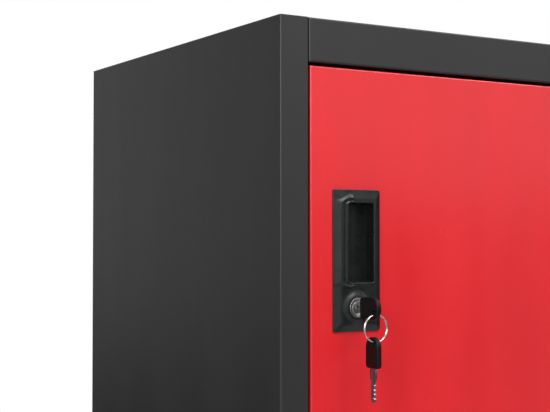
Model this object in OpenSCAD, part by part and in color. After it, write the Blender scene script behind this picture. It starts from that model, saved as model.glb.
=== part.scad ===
// Steel locker cabinet: three stacked compartments with inset doors, pull handles and key locks
// Millimetres, +X right, +Y towards the back, +Z up
// The origin is on the floor, midway between the key tips in front and the back face

/* [Cabinet] */
// width over the side panels
cabinet_w = 380; // [340:1:420]
// depth of the carcass
cabinet_d = 400; // [350:1:480]
// height with the feet
cabinet_h = 1150; // [1100:1:1250]
// sheet thickness
sheet_t = 0.8; // [0.6:0.1:1]
// outside radius of the sheet bends
bend_r = 1.6; // [1.3:0.1:2]
// width of the folds at the back of the sides and under the shelves
fold_w = 16; // [12:0.5:20]

/* [Front frame] */
// face width of each upright
stile_w = 27.6; // [24:0.2:32]
// height of the rail above the doors
top_rail_h = 37.5; // [30:0.5:50]
// height of the rail between two doors
mid_rail_h = 20; // [17:0.5:28]
// height of the rail below the doors
bottom_rail_h = 38; // [32:0.5:55]
// depth that the rails reach behind the front
rail_d = 17; // [14:0.5:18]
// seam between a rail and an upright
rail_seam = 0.8; // [0.4:0.1:1.2]
// width of the door stop on the lock side
stop_lip = 10; // [8:0.5:14]

/* [Back] */
// diameter of the wall fixing holes
wall_hole_d = 7; // [5:0.5:9]
// distance between the wall fixing holes
wall_hole_pitch = 200; // [120:1:260]
// wall fixing holes below the top
wall_hole_drop = 70; // [40:1:120]
// diameter of the back screws
screw_d = 4; // [3:0.5:5]
// head diameter of the back screws
screw_head_d = 7.2; // [6:0.2:8.4]
// head height of the back screws
screw_head_h = 2; // [1.4:0.1:2.6]
// length of the back screws
screw_l = 7; // [5:0.5:10]

/* [Feet] */
// foot diameter
foot_d = 30; // [24:1:34]
// foot height
foot_h = 6; // [4:0.5:12]
// width of the fold that carries the feet
foot_fold_w = 38; // [36:1:46]
// foot centres from the front and the back
foot_inset = 55; // [45:1:80]
// diameter of the plug that holds a foot in its hole
foot_plug_d = 8; // [6:0.5:10]

/* [Doors] */
// depth of the door pan
door_depth = 18; // [16:0.5:20]
// width of the fold round the back of a door
door_lip = 12; // [9:0.5:16]
// gap beside a door
side_gap = 2; // [1.8:0.1:3]
// gap above a door
top_gap = 3.2; // [2:0.1:4]
// gap below a door
bottom_gap = 3; // [2:0.1:4]
// thickness of the rubber pads that a door closes on
pad_t = 1.2; // [1:0.1:2]
// diameter of the rubber pads
pad_d = 7; // [5:0.5:8]
// pads from the top and the bottom of a door
pad_inset = 40; // [25:1:60]
// width of the stiffening channel
stiff_w = 30; // [20:1:40]
// depth of the stiffening channel
stiff_d = 14; // [10:0.5:15]
// foot width of the stiffening channel
stiff_foot = 10; // [8:0.5:14]
// middle of the stiffening channel from the hinge edge
stiff_inset = 110; // [80:1:130]

/* [Hinges] */
// hinge axis from the edge of a door
hinge_inset = 8; // [7:0.1:9]
// hinge axis behind the front of a door
hinge_setback = 6; // [5.6:0.1:6.4]
// pin diameter
pin_d = 6; // [5:0.1:6.4]
// running clearance round a pin
pin_clear = 0.05; // [0.02:0.01:0.1]
// depth that a pin reaches into a door
pin_reach = 10; // [6:0.5:16]
// pin head diameter
pin_head_d = 9; // [8:0.5:10]
// pin head height
pin_head_h = 2; // [1.5:0.1:3]
// outside diameter of the bearing washers
washer_d = 9; // [8:0.5:10]

/* [Handle] */
// handle width
handle_w = 47.6; // [44:0.2:56]
// handle height
handle_h = 121; // [112:0.5:136]
// handle from the free edge of its door
handle_inset = 21.8; // [17:0.2:28]
// handle below the top of its door
handle_drop = 103.5; // [80:0.5:120]
// height of the outer edge
handle_rim = 2; // [1.4:0.1:3]
// height of the flat top
handle_rise = 5.3; // [4.5:0.1:7]
// width of the left bevel
bevel_left = 8; // [6:0.5:10]
// width of the right bevel
bevel_right = 5.4; // [4:0.1:6.4]
// width of the upper bevel
bevel_top = 7; // [5:0.5:8]
// width of the lower bevel
bevel_bottom = 6; // [4:0.5:8]
// corner radius
handle_corner = 1.6; // [1:0.1:3]
// finger pocket from the left edge
pocket_left = 13.6; // [12:0.1:16]
// finger pocket from the right edge
pocket_right = 7.5; // [7:0.1:9]
// finger pocket below the top edge
pocket_top = 11.4; // [9.5:0.1:14]
// finger pocket height
pocket_h = 68; // [60:0.1:72]
// finger pocket depth behind the door face
pocket_depth = 8; // [6:0.5:12]
// radius of the scooped pocket floor
pocket_curve = 32; // [29:0.5:38]
// deepest line of the pocket from its right wall
pocket_flat = 3; // [2:0.1:8]
// corner radius of the pocket
pocket_corner = 3.5; // [2:0.1:5]
// wall of the pocket
pocket_wall = 1.6; // [1.2:0.1:2]
// width of the raised lip round the pocket
lip_w = 5; // [3:0.1:5.5]
// height of the raised lip
lip_h = 0.8; // [0.4:0.1:2]
// length of the lip arms
lip_arm = 10.1; // [8:0.1:16]
// diameter of the handle screws
handle_screw_d = 2.5; // [2:0.1:3]
// head diameter of the handle screws
handle_screw_head_d = 6; // [5:0.2:7]
// handle screws from the top edge
handle_screw_drop = 4.5; // [4:0.1:5.5]
// handle screws from the sides
handle_screw_side = 12; // [10:0.5:16]

/* [Lock] */
// lock axis from the left edge of the handle
lock_inset = 22.1; // [20:0.1:26]
// lock axis above the lower edge of the handle
lock_rise = 20.5; // [18:0.5:24]
// barrel diameter
barrel_d = 15.6; // [15:0.1:16.4]
// rim diameter
rim_d = 16.8; // [16.6:0.1:18]
// rim thickness
rim_t = 1.3; // [1:0.1:2]
// height that the rim stands out of its boss
rim_proud = 0.2; // [0.1:0.1:0.8]
// boss diameter
boss_d = 19.5; // [19:0.5:21]
// boss height over the flat top of the handle
boss_h = 0.8; // [0.3:0.1:1.2]
// slope width of the boss
boss_slope = 3.8; // [1:0.1:4]
// fitting clearance round the barrel and the rim
barrel_clear = 0.15; // [0.05:0.05:0.3]
// plug diameter
plug_d = 12; // [11:0.1:12.6]
// plug head diameter
plug_head_d = 13.6; // [13.2:0.1:14]
// plug head thickness
plug_head_t = 0.9; // [0.6:0.1:1.4]
// depth of the plug head below the rim
plug_sink = 0.6; // [0.3:0.1:1]
// running clearance round the plug
plug_clear = 0.05; // [0.02:0.01:0.1]
// nut width across flats
nut_w = 22; // [20:0.5:24]
// nut thickness
nut_h = 4; // [3:0.5:6]
// cam thickness
cam_t = 2; // [1.5:0.1:3]
// cam width
cam_w = 16; // [13:0.5:18]
// gap between the cam and the door stop
cam_gap = 0.8; // [0.5:0.1:1.5]
// width of the square tail that turns the cam
tail_w = 7; // [6.4:0.1:7.6]
// cam screw diameter
cam_screw_d = 4; // [3:0.1:4.6]
// cam screw head diameter
cam_screw_head_d = 9.4; // [9.2:0.1:11]
// cam screw head height
cam_screw_head_h = 2.4; // [1.6:0.1:3]

/* [Keys] */
// length of the plastic bow
bow_l = 26; // [24:0.5:32]
// width of the bow
bow_w = 18.5; // [18:0.5:24]
// thickness of the bow
bow_t = 4.6; // [4:0.1:5.2]
// corner radius at the outer end of the bow
bow_r = 7.5; // [5:0.5:8]
// corner radius at the blade end of the bow
bow_foot_r = 3; // [1:0.5:4]
// diameter of the hole in the bow
bow_hole_d = 5.5; // [5:0.1:6]
// hole from the outer end of the bow
bow_hole_inset = 5.5; // [5:0.1:6.5]
// hole to the cut side of the bow's middle line
hole_side = 3.5; // [0:0.1:4]
// length of the collar between bow and blade
collar_l = 9.7; // [8:0.1:11]
// collar width
collar_w = 8; // [7:0.1:8.6]
// blade length
blade_l = 18.7; // [15:0.1:18.9]
// blade width
blade_w = 4.8; // [4:0.1:6]
// blade thickness
blade_t = 2; // [1.6:0.1:2.4]
// depth of the blade's tang inside the bow
tang_l = 9; // [6:0.5:12]
// room between the lock face and the bow of a key in the lock
key_gap = 4.7; // [2:0.1:6]
// clearance round a blade in the plug
key_clear = 0.3; // [0.2:0.05:0.4]
// depth of the cuts in a blade
cut_depth = 1.2; // [0.6:0.1:1.6]
// distance between two cuts
cut_pitch = 3.6; // [3:0.1:4.4]
// outside diameter of the key ring
ring_d = 24; // [22:0.5:30]
// wire diameter of the key ring
wire_d = 1.2; // [1:0.1:1.4]
// clearance between the key ring and the edge of a bow's hole
ring_clear = 0.9; // [0.8:0.05:1.1]
// turn of the hanging key about the vertical
spare_turn = -2; // [-15:1:15]

/* [Hidden] */
$fn = 64;
// past a face that a cut has to break through
over = 1;
// overlap of pieces that are joined
lap = 0.1;
// layout of the front
lock_face = handle_rise + boss_h + rim_proud;
key_reach = lock_face + key_gap + bow_l;
front_y = (key_reach - cabinet_d) / 2;
return_d = door_depth + pad_t + sheet_t;
rail_x = stile_w + rail_seam;
rail_w = cabinet_w - 2 * rail_x;
sheet_y0 = return_d + 0.5;
sheet_y1 = cabinet_d - max(2 * sheet_t, bend_r);
open_h = (cabinet_h - foot_h - top_rail_h - bottom_rail_h - 2 * mid_rail_h) / 3;
door_w = cabinet_w - 2 * stile_w - 2 * side_gap;
door_h = open_h - top_gap - bottom_gap;
door_x = stile_w + side_gap;
hinge_x = door_x + door_w - hinge_inset;
// door 0 is the upper one, door 2 the lower one
function open_z(i) = foot_h + bottom_rail_h + (2 - i) * (open_h + mid_rail_h);
function door_z(i) = open_z(i) + bottom_gap;
// places on a door, from its lower free corner
handle_z = door_h - handle_drop - handle_h;
lock_x = handle_inset + lock_inset;
lock_z = handle_z + lock_rise;
// lock and key along Y, from the door face
seat_y = rim_t - lock_face;
head_y = plug_sink - lock_face;
cam_y = return_d + cam_gap;
body_y = cam_y - 0.4;
cam_l = lock_x + side_gap - 1.5;
hole_y = bow_hole_inset - key_reach;
bow_end = bow_l - bow_hole_inset;
tip_y = hole_y + bow_end + collar_l + blade_l;
// pocket of the handle
pocket_x1 = handle_w - pocket_right;
pocket_z0 = handle_h - pocket_top - pocket_h;
pocket_c = [pocket_x1 - pocket_flat, pocket_depth - pocket_curve];
// ring and hanging key, from the hole of the key in the lock
ring_r = (ring_d - wire_d) / 2;
ring_seat = bow_hole_d / 2 - wire_d / 2 - ring_clear;
ring_drop = ring_seat + ring_r;
spare_drop = 2 * ring_drop;

// places of a piece on the cabinet, on a door, at a lock and at the hole of the key in it
module on_cabinet() { translate([-cabinet_w / 2, front_y, 0]) children(); }
module on_door(i) { on_cabinet() translate([door_x, 0, door_z(i)]) children(); }
module at_lock(i) { on_door(i) translate([lock_x, 0, lock_z]) children(); }
module at_hole(i) { at_lock(i) translate([0, hole_y, -hole_side]) children(); }

// outlines drawn in a plane and drawn out along Y, along X, and round bars along Y
module xz_plate(y0, y1) { translate([0, y1, 0]) rotate([90, 0, 0]) linear_extrude(y1 - y0) children(); }
module yz_bar(x0, x1) { translate([x0, 0, 0]) rotate([90, 0, 90]) linear_extrude(x1 - x0) children(); }
module y_bar(y0, y1, r) { translate([0, y0, 0]) rotate([-90, 0, 0]) cylinder(h = y1 - y0, r = r); }

// what rounding takes off an outline's corner at p, whose plate lies towards sx and sy
module corner_cut(p, sx, sy, r) {
    translate(p)
        mirror([sx < 0 ? 1 : 0, 0])
            mirror([0, sy < 0 ? 1 : 0])
                difference() {
                    translate([-over, -over]) square(r + over);
                    translate([r, r]) circle(r);
                }
}

// outline with a radius at each corner, from the lower left and turning left
module round_plate(w, h, r) {
    difference() {
        square([w, h]);
        corner_cut([0, 0], 1, 1, r[0]);
        corner_cut([w, 0], -1, 1, r[1]);
        corner_cut([w, h], -1, -1, r[2]);
        corner_cut([0, h], 1, -1, r[3]);
    }
}

// block whose four front edges are rounded
module front_block(w, h, d, r) {
    intersection() {
        linear_extrude(h)
            difference() {
                square([w, d]);
                corner_cut([0, 0], 1, 1, r);
                corner_cut([w, 0], -1, 1, r);
            }
        yz_bar(0, w)
            difference() {
                square([d, h]);
                corner_cut([0, 0], 1, 1, r);
                corner_cut([0, h], 1, -1, r);
            }
    }
}

// sheet pan, open at the back
module pan(w, h, d) {
    difference() {
        front_block(w, h, d, bend_r);
        translate([sheet_t, sheet_t, sheet_t])
            front_block(w - 2 * sheet_t, h - 2 * sheet_t, d, bend_r - sheet_t);
    }
}

// a quarter of a bend about c, on its sx and sy side
module bend(c, sx, sy) {
    translate(c)
        intersection() {
            difference() {
                circle(bend_r);
                circle(bend_r - sheet_t);
            }
            mirror([sx < 0 ? 1 : 0, 0])
                mirror([0, sy < 0 ? 1 : 0])
                    square(bend_r);
        }
}

// outline of a side panel, from its outer face and its front, with or without the door stop
module side_outline(stop) {
    straight_x = stile_w - sheet_t;
    return_y = stop ? return_d - bend_r : return_d;
    translate([0, bend_r]) square([sheet_t, cabinet_d - 2 * bend_r]);
    bend([bend_r, bend_r], -1, -1);
    translate([bend_r, 0]) square([stile_w - 2 * bend_r, sheet_t]);
    bend([stile_w - bend_r, bend_r], 1, -1);
    translate([straight_x, bend_r]) square([sheet_t, return_y - bend_r]);
    if (stop) {
        bend([straight_x + bend_r, return_d - bend_r], -1, 1);
        translate([straight_x + bend_r, return_d - sheet_t])
            square([stop_lip + sheet_t - bend_r, sheet_t]);
    }
    bend([bend_r, cabinet_d - bend_r], -1, 1);
    translate([bend_r, cabinet_d - sheet_t]) square([fold_w - bend_r, sheet_t]);
}

// heights of the back screws
function screw_zs() = [for (i = [0 : 2]) for (k = [0.25, 0.75]) open_z(i) + k * open_h];

module screw_places() {
    for (z = screw_zs()) {
        translate([fold_w / 2, cabinet_d, z]) children();
        translate([cabinet_w - fold_w / 2, cabinet_d, z]) children();
    }
}

module side_panel(stop) {
    difference() {
        translate([0, 0, foot_h]) linear_extrude(cabinet_h - foot_h) side_outline(stop);
        translate([sheet_t, sheet_t, cabinet_h - sheet_t])
            cube([stile_w + stop_lip, cabinet_d - 2 * sheet_t, sheet_t + over]);
        for (z = screw_zs())
            translate([fold_w / 2, cabinet_d, z])
                y_bar(-fold_w / 2, over, screw_d / 2 + pin_clear);
    }
}

module left_side_panel() {
    color("dimgray") on_cabinet() side_panel(true);
}

module right_side_panel() {
    color("dimgray") mirror([1, 0, 0]) on_cabinet() side_panel(false);
}

// shelf sheet with its front rail and its folds, with or without a fold at the back
module tray(h, fold_h, back) {
    clear_x = stile_w + stop_lip + over;
    translate([rail_x, 0, 0]) pan(rail_w, h, rail_d);
    translate([clear_x, rail_d - over, h - sheet_t])
        cube([cabinet_w - 2 * clear_x, sheet_y0 - rail_d + 2 * over, sheet_t]);
    translate([sheet_t, sheet_y0, h - sheet_t])
        cube([cabinet_w - 2 * sheet_t, sheet_y1 - sheet_y0, sheet_t]);
    for (x = [sheet_t, cabinet_w - 2 * sheet_t])
        translate([x, sheet_y0, h - fold_h]) cube([sheet_t, sheet_y1 - sheet_y0, fold_h]);
    if (back)
        translate([sheet_t, sheet_y1 - sheet_t, h - fold_h])
            cube([cabinet_w - 2 * sheet_t, sheet_t, fold_h]);
}

// holes for the hinge pins through the rail folds, at height z
module pin_hole(z) {
    translate([hinge_x, hinge_setback, z - 2 * sheet_t])
        cylinder(h = 4 * sheet_t, r = pin_d / 2 + pin_clear);
}

module top_panel() {
    color("dimgray") on_cabinet() translate([0, 0, cabinet_h - top_rail_h])
        difference() {
            union() {
                tray(top_rail_h, fold_w, false);
                translate([sheet_t, bend_r, top_rail_h - sheet_t])
                    cube([cabinet_w - 2 * sheet_t, cabinet_d - bend_r - sheet_t, sheet_t]);
            }
            pin_hole(0);
        }
}

module shelf(i) {
    color("dimgray") on_cabinet() translate([0, 0, open_z(i) - mid_rail_h])
        difference() {
            tray(mid_rail_h, fold_w, false);
            pin_hole(0);
            pin_hole(mid_rail_h);
        }
}

module foot_places() {
    for (x = [sheet_t + foot_fold_w / 2, cabinet_w - sheet_t - foot_fold_w / 2])
        for (y = [foot_inset, cabinet_d - foot_inset])
            translate([x, y, 0]) children();
}

module bottom_panel() {
    color("dimgray") on_cabinet()
        difference() {
            translate([0, 0, foot_h]) {
                tray(bottom_rail_h, bottom_rail_h, true);
                for (x = [sheet_t, cabinet_w - sheet_t - foot_fold_w])
                    translate([x, sheet_y0, 0]) cube([foot_fold_w, sheet_y1 - sheet_y0, sheet_t]);
            }
            translate([0, 0, foot_h]) pin_hole(bottom_rail_h);
            foot_places() cylinder(h = foot_h + 3 * sheet_t, r = foot_plug_d / 2 + pin_clear);
        }
}

module back_panel() {
    color("dimgray") on_cabinet()
        difference() {
            translate([bend_r, cabinet_d - 2 * sheet_t, foot_h])
                cube([cabinet_w - 2 * bend_r, sheet_t, cabinet_h - foot_h - sheet_t]);
            for (s = [-1, 1])
                translate([cabinet_w / 2 + s * wall_hole_pitch / 2, cabinet_d, cabinet_h - wall_hole_drop])
                    y_bar(-3 * sheet_t, over, wall_hole_d / 2);
            screw_places() y_bar(-3 * sheet_t, over, screw_d / 2 + pin_clear);
        }
}

module back_screws() {
    color("silver") on_cabinet() screw_places() {
        y_bar(0, screw_head_h, screw_head_d / 2);
        y_bar(-screw_l, screw_head_h / 2, screw_d / 2);
    }
}

module foot_glides() {
    color("black") on_cabinet() foot_places() {
        cylinder(h = foot_h, r = foot_d / 2);
        cylinder(h = foot_h + 3 * sheet_t, r = foot_plug_d / 2);
    }
}

module lower_hinge_pins() {
    color("silver") on_cabinet()
        for (i = [0 : 2])
            translate([hinge_x, hinge_setback, open_z(i) - sheet_t]) {
                translate([0, 0, -pin_head_h]) cylinder(h = pin_head_h, r = pin_head_d / 2);
                translate([0, 0, -pin_head_h / 2])
                    cylinder(h = pin_head_h / 2 + sheet_t + bottom_gap + pin_reach, r = pin_d / 2);
            }
}

module upper_hinge_pins() {
    color("silver") on_cabinet()
        for (i = [0 : 2])
            translate([hinge_x, hinge_setback, open_z(i) + open_h + sheet_t]) {
                cylinder(h = pin_head_h, r = pin_head_d / 2);
                translate([0, 0, -sheet_t - top_gap - pin_reach])
                    cylinder(h = pin_head_h / 2 + sheet_t + top_gap + pin_reach, r = pin_d / 2);
            }
}

module hinge_washers() {
    color("white") on_cabinet()
        for (i = [0 : 2])
            translate([hinge_x, hinge_setback, open_z(i)])
                difference() {
                    cylinder(h = bottom_gap, r = washer_d / 2);
                    translate([0, 0, -over])
                        cylinder(h = bottom_gap + 2 * over, r = pin_d / 2 + pin_clear);
                }
}

module door_pads() {
    color("black") on_cabinet()
        for (i = [0 : 2])
            for (z = [pad_inset, door_h - pad_inset])
                translate([stile_w + (side_gap + stop_lip) / 2, 0, door_z(i) + z])
                    y_bar(door_depth, door_depth + pad_t, pad_d / 2);
}

module handle_screw_places() {
    for (x = [handle_screw_side, handle_w - handle_screw_side])
        translate([handle_inset + x, 0, handle_z + handle_h - handle_screw_drop]) children();
}

module door_panel(i) {
    grow = pocket_wall + barrel_clear;
    color("red") on_door(i)
        difference() {
            union() {
                pan(door_w, door_h, door_depth);
                xz_plate(door_depth - sheet_t, door_depth)
                    difference() {
                        square([door_w, door_h]);
                        translate([door_lip, door_lip])
                            square([door_w - 2 * door_lip, door_h - 2 * door_lip]);
                    }
            }
            translate([door_w - hinge_inset, hinge_setback, -over])
                cylinder(h = sheet_t + 2 * over, r = pin_d / 2 + pin_clear);
            translate([door_w - hinge_inset, hinge_setback, door_h - sheet_t - over])
                cylinder(h = sheet_t + 2 * over, r = pin_d / 2 + pin_clear);
            translate([handle_inset + pocket_left - grow, -over, handle_z + pocket_z0 - grow])
                cube([pocket_x1 - pocket_left + 2 * grow, sheet_t + 2 * over, pocket_h + 2 * grow]);
            translate([lock_x, 0, lock_z]) y_bar(-over, sheet_t + over, barrel_d / 2 + barrel_clear);
            handle_screw_places() y_bar(-over, sheet_t + over, handle_screw_d / 2 + barrel_clear);
        }
}

module door_stiffener(i) {
    low = sheet_t + over;
    half = stiff_w / 2;
    color("firebrick") on_door(i)
        translate([door_w - stiff_inset, 0, low])
            linear_extrude(door_h - 2 * low) {
                for (s = [-1, 1]) {
                    translate([s * (half + stiff_foot / 2) - stiff_foot / 2, sheet_t])
                        square([stiff_foot, sheet_t]);
                    translate([s * (half - sheet_t / 2) - sheet_t / 2, sheet_t])
                        square([sheet_t, stiff_d - sheet_t]);
                }
                translate([-half, stiff_d - sheet_t]) square([stiff_w, sheet_t]);
            }
}

// outline across the pocket's wall, and across the hollow inside it
module pocket_shell() {
    intersection() {
        translate(pocket_c) circle(pocket_curve + pocket_wall, $fn = 128);
        translate([pocket_left - pocket_wall, -handle_rim])
            square([pocket_x1 - pocket_left + 2 * pocket_wall, 2 * pocket_curve]);
    }
}

module pocket_hollow() {
    intersection() {
        translate(pocket_c) circle(pocket_curve, $fn = 128);
        translate([pocket_x1 - 2 * pocket_curve, -2 * pocket_curve])
            square([2 * pocket_curve, 4 * pocket_curve]);
    }
}

// outline of the pocket in the front, grown by g to the left, up and down, with rounded left corners
module pocket_front(g) {
    r = pocket_corner + g;
    translate([pocket_left - g, pocket_z0 - g])
        difference() {
            square([handle_w, pocket_h + 2 * g]);
            corner_cut([0, 0], 1, 1, r);
            corner_cut([0, pocket_h + 2 * g], 1, -1, r);
        }
}

module handle_plate() {
    w = handle_w;
    h = handle_h;
    intersection() {
        linear_extrude(h)
            polygon([[0, 0], [0, -handle_rim], [bevel_left, -handle_rise],
                [w - bevel_right, -handle_rise], [w, -handle_rim], [w, 0]]);
        yz_bar(0, w)
            polygon([[0, 0], [-handle_rim, 0], [-handle_rise, bevel_bottom],
                [-handle_rise, h - bevel_top], [-handle_rim, h], [0, h]]);
        xz_plate(-2 * handle_rise, over)
            round_plate(w, h, [handle_corner, handle_corner, handle_corner, handle_corner]);
    }
}

module handle(i) {
    c = barrel_clear;
    color("darkslategray") on_door(i) difference() {
        translate([handle_inset, 0, handle_z])
            difference() {
                union() {
                    handle_plate();
                    translate([0, 0, pocket_z0 - pocket_wall])
                        linear_extrude(pocket_h + 2 * pocket_wall) pocket_shell();
                    xz_plate(-handle_rise - lip_h, -handle_rim / 2)
                        intersection() {
                            pocket_front(lip_w);
                            square([pocket_left - lip_w + lip_arm, handle_h]);
                        }
                    translate([lock_inset, 0, lock_rise])
                        rotate([90, 0, 0])
                            translate([0, 0, handle_rise - lap])
                                cylinder(h = boss_h + lap, r2 = boss_d / 2,
                                    r1 = boss_d / 2 + boss_slope * (1 + lap / boss_h));
                }
                intersection() {
                    translate([0, 0, -over]) linear_extrude(handle_h + 2 * over) pocket_hollow();
                    xz_plate(-2 * pocket_curve, 2 * pocket_curve) pocket_front(0);
                }
                translate([lock_inset, 0, lock_rise]) {
                    y_bar(-2 * lock_face, over, barrel_d / 2 + c);
                    y_bar(-2 * lock_face, seat_y, rim_d / 2 + c);
                }
            }
        handle_screw_places() y_bar(-handle_rim - over, over, handle_screw_d / 2 + pin_clear);
    }
}

module handle_screws(i) {
    color("silver") on_door(i) handle_screw_places() {
        y_bar(sheet_t, sheet_t + handle_screw_d * 0.7, handle_screw_head_d / 2);
        y_bar(-handle_rim - over / 2, sheet_t + handle_screw_d * 0.3, handle_screw_d / 2);
    }
}

module lock_body(i) {
    color("silver") at_lock(i)
        difference() {
            union() {
                y_bar(-lock_face, seat_y, rim_d / 2);
                y_bar(seat_y - rim_t / 2, body_y, barrel_d / 2);
            }
            y_bar(-2 * lock_face, body_y + over, plug_d / 2);
            y_bar(-2 * lock_face, head_y + plug_head_t, plug_head_d / 2);
        }
}

module lock_nut(i) {
    color("silver") at_lock(i)
        difference() {
            translate([0, sheet_t, 0])
                rotate([-90, 0, 0]) cylinder(h = nut_h, d = nut_w / cos(30), $fn = 6);
            y_bar(0, sheet_t + nut_h + over, barrel_d / 2 + pin_clear);
        }
}

module lock_plug(i) {
    slot = blade_t / 2 + key_clear;
    color("gainsboro") at_lock(i)
        difference() {
            union() {
                y_bar(head_y, head_y + plug_head_t, plug_head_d / 2 - plug_clear);
                y_bar(head_y + plug_head_t / 2, cam_y, plug_d / 2 - plug_clear);
                translate([-tail_w / 2, cam_y - over, -tail_w / 2])
                    cube([tail_w, over + cam_t - 0.2, tail_w]);
            }
            translate([-slot, -2 * lock_face, -collar_w / 2 - key_clear])
                cube([2 * slot, 2 * lock_face + hole_y + bow_end + collar_l + key_clear,
                    collar_w + 2 * key_clear]);
            translate([-slot, -2 * lock_face, -blade_w / 2 - key_clear])
                cube([2 * slot, 2 * lock_face + tip_y + key_clear, blade_w + 2 * key_clear]);
            y_bar(tip_y, cam_y + cam_t + over, cam_screw_d / 2 + pin_clear);
        }
}

module lock_cam(i) {
    color("silver") at_lock(i)
        xz_plate(cam_y, cam_y + cam_t)
            difference() {
                union() {
                    circle(d = cam_w);
                    translate([-cam_w / 2, -cam_l]) square([cam_w, cam_l]);
                }
                square(tail_w + 2 * pin_clear, center = true);
            }
}

module cam_screw(i) {
    y0 = cam_y + cam_t;
    color("gray") at_lock(i) {
        y_bar(y0, y0 + cam_screw_head_h, cam_screw_head_d / 2);
        y_bar(tip_y + 2 * key_clear, y0 + cam_screw_head_h / 2, cam_screw_d / 2);
    }
}

// key along +Y from the hole in its bow, with the bow in the YZ plane
module bow() {
    difference() {
        yz_bar(-bow_t / 2, bow_t / 2)
            difference() {
                translate([-bow_hole_inset, hole_side - bow_w / 2])
                    round_plate(bow_l, bow_w, [bow_r, bow_foot_r, bow_foot_r, bow_r]);
                circle(d = bow_hole_d);
            }
        translate([-blade_t / 2, bow_end - tang_l, hole_side - blade_w / 2])
            cube([blade_t, tang_l + over, blade_w]);
    }
}

module blade() {
    yz_bar(-blade_t / 2, blade_t / 2)
        translate([bow_end, hole_side])
            difference() {
                union() {
                    translate([-tang_l, -blade_w / 2]) square([tang_l + collar_l + blade_l, blade_w]);
                    translate([0, -collar_w / 2]) square([collar_l, collar_w]);
                }
                for (k = [1 : 4])
                    translate([collar_l + k * cut_pitch, -blade_w / 2])
                        polygon([[-cut_depth, -over], [-cut_depth, 0], [0, cut_depth],
                            [cut_depth, 0], [cut_depth, -over]]);
                translate([collar_l + blade_l, blade_w / 2])
                    polygon([[over, -blade_w], [over, over], [-blade_w / 2, over],
                        [-blade_w / 2, 0], [0, -blade_w / 2], [0, -blade_w]]);
            }
}

module key_bow(i) { color("black") at_hole(i) bow(); }

module key_blade(i) { color("silver") at_hole(i) blade(); }

module key_ring(i) {
    color("silver") at_hole(i)
        translate([0, 0, -ring_drop])
            rotate([90, 0, 0])
                rotate_extrude()
                    for (s = [-1, 1])
                        translate([ring_r, s * 0.4 * wire_d]) circle(d = wire_d);
}

module hang(i) { at_hole(i) translate([0, 0, -spare_drop]) rotate([-90, 0, spare_turn]) children(); }

module spare_bow(i) { color("black") hang(i) bow(); }

module spare_blade(i) { color("silver") hang(i) blade(); }

left_side_panel();
right_side_panel();
top_panel();
bottom_panel();
back_panel();
shelf(0);  // upper_shelf
shelf(1);  // lower_shelf
foot_glides();
back_screws();
lower_hinge_pins();
upper_hinge_pins();
hinge_washers();
door_pads();
door_panel(0);  // upper_door_panel
door_stiffener(0);  // upper_door_stiffener
handle(0);  // upper_handle
handle_screws(0);  // upper_handle_screws
lock_body(0);  // upper_lock_body
lock_nut(0);  // upper_lock_nut
lock_plug(0);  // upper_lock_plug
lock_cam(0);  // upper_lock_cam
cam_screw(0);  // upper_cam_screw
key_blade(0);  // upper_key_blade
key_bow(0);  // upper_key_bow
key_ring(0);  // upper_key_ring
spare_blade(0);  // upper_spare_blade
spare_bow(0);  // upper_spare_bow
door_panel(1);  // middle_door_panel
door_stiffener(1);  // middle_door_stiffener
handle(1);  // middle_handle
handle_screws(1);  // middle_handle_screws
lock_body(1);  // middle_lock_body
lock_nut(1);  // middle_lock_nut
lock_plug(1);  // middle_lock_plug
lock_cam(1);  // middle_lock_cam
cam_screw(1);  // middle_cam_screw
key_blade(1);  // middle_key_blade
key_bow(1);  // middle_key_bow
key_ring(1);  // middle_key_ring
spare_blade(1);  // middle_spare_blade
spare_bow(1);  // middle_spare_bow
door_panel(2);  // lower_door_panel
door_stiffener(2);  // lower_door_stiffener
handle(2);  // lower_handle
handle_screws(2);  // lower_handle_screws
lock_body(2);  // lower_lock_body
lock_nut(2);  // lower_lock_nut
lock_plug(2);  // lower_lock_plug
lock_cam(2);  // lower_lock_cam
cam_screw(2);  // lower_cam_screw
key_blade(2);  // lower_key_blade
key_bow(2);  // lower_key_bow
key_ring(2);  // lower_key_ring
spare_blade(2);  // lower_spare_blade
spare_bow(2);  // lower_spare_bow
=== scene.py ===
from math import atan2, cos, hypot, pi, radians, sin, sqrt
import bmesh
import bpy
from mathutils import Matrix, Vector


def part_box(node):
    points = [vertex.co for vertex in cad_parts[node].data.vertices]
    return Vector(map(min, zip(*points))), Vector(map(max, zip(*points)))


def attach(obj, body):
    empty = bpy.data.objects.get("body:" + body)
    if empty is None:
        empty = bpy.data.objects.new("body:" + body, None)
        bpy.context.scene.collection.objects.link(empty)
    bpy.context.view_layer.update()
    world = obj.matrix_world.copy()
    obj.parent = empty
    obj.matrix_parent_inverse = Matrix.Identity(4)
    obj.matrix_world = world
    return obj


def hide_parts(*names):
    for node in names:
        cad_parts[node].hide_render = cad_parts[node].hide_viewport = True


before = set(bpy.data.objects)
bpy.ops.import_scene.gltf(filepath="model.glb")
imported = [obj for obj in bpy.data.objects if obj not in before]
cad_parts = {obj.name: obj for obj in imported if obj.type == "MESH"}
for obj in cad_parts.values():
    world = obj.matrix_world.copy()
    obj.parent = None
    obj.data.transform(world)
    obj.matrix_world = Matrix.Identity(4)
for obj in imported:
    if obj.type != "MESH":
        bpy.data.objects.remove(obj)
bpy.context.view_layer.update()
scene = bpy.context.scene

# Pieces are drawn in millimetres and put into the frame's metres. Camera, lamps and cards are in metres.
MM = 0.001
DOORS = ("upper", "middle", "lower")
CARCASS = ("left_side_panel", "right_side_panel", "top_panel", "bottom_panel", "back_panel",
           "upper_shelf", "lower_shelf")

# camera, solved from the straight edges in the photograph
LENS, SENSOR = 79.59, 36
CAMERA_PLACE = (-0.7097, -1.0370, 0.9617)
CAMERA_TILT, CAMERA_HEADING = 91.66, -31.02

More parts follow.
